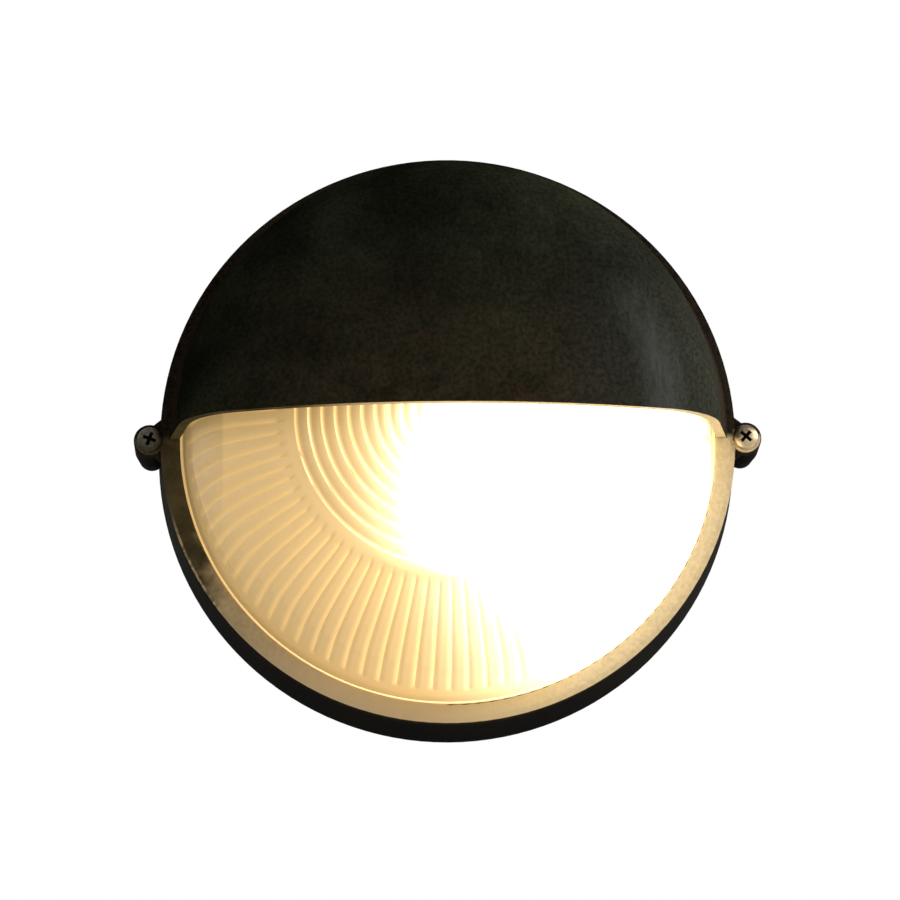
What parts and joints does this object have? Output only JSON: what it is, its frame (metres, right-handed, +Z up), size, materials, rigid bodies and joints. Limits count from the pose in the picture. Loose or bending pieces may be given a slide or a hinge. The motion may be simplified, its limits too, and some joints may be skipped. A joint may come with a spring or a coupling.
{
  "type": "round bulkhead wall light",
  "caption": "Round cast bulkhead wall light: a base dish, a front frame with a half hood over a ribbed pressed glass, and a screw-cap bulb on a porcelain holder.",
  "frame": {"origin": "middle of the flat back face that lies on the wall", "axes": "+Z up with the hood on top, +Y into the wall, so the light stands out towards -Y, and +X to the right as seen from the front"},
  "size_m": [0.2578, 0.116, 0.2392],
  "materials": {
    "cast_base": "black paint on a rough casting, matt",
    "cast_frame": "worn black-green paint on a rough casting",
    "ribbed_glass": "clear pressed glass, fire polished",
    "seal_rubber": "matt black",
    "spring_wire": "zinc plated",
    "screw_zinc": "zinc plated, dulled",
    "reflector_white": "white stove enamel",
    "bracket_steel": "zinc plated strip",
    "porcelain": "white glaze",
    "contact_brass": "plain",
    "bulb_glass": "opal white",
    "block_plastic": "natural",
    "lead_brown": "brown insulation",
    "lead_blue": "blue insulation"
  },
  "bodies": {
    "root": {"base_housing": "cast_base", "housing_gasket": "seal_rubber", "front_frame": "cast_frame", "glass_lens": "ribbed_glass", "glass_gasket": "seal_rubber", "glass_ring": "spring_wire", "cover_screw_left": "screw_zinc", "cover_screw_right": "screw_zinc", "reflector": "reflector_white", "reflector_screw": "screw_zinc", "lampholder_bracket": "bracket_steel", "bracket_screws": "screw_zinc", "lampholder_body": "porcelain", "lampholder_shell": "contact_brass", "lampholder_contact": "contact_brass", "holder_screws": "screw_zinc", "live_clamp": "contact_brass", "neutral_clamp": "contact_brass", "clamp_screws": "contact_brass", "bulb": "bulb_glass", "terminal_block": "block_plastic", "terminal_tubes": "contact_brass", "terminal_screws": "screw_zinc", "block_screw": "screw_zinc", "live_lead": "lead_brown", "neutral_lead": "lead_blue", "earth_screw": "contact_brass", "earth_washer": "contact_brass", "cable_grommet": "seal_rubber"}
  },
  "joints": []
}
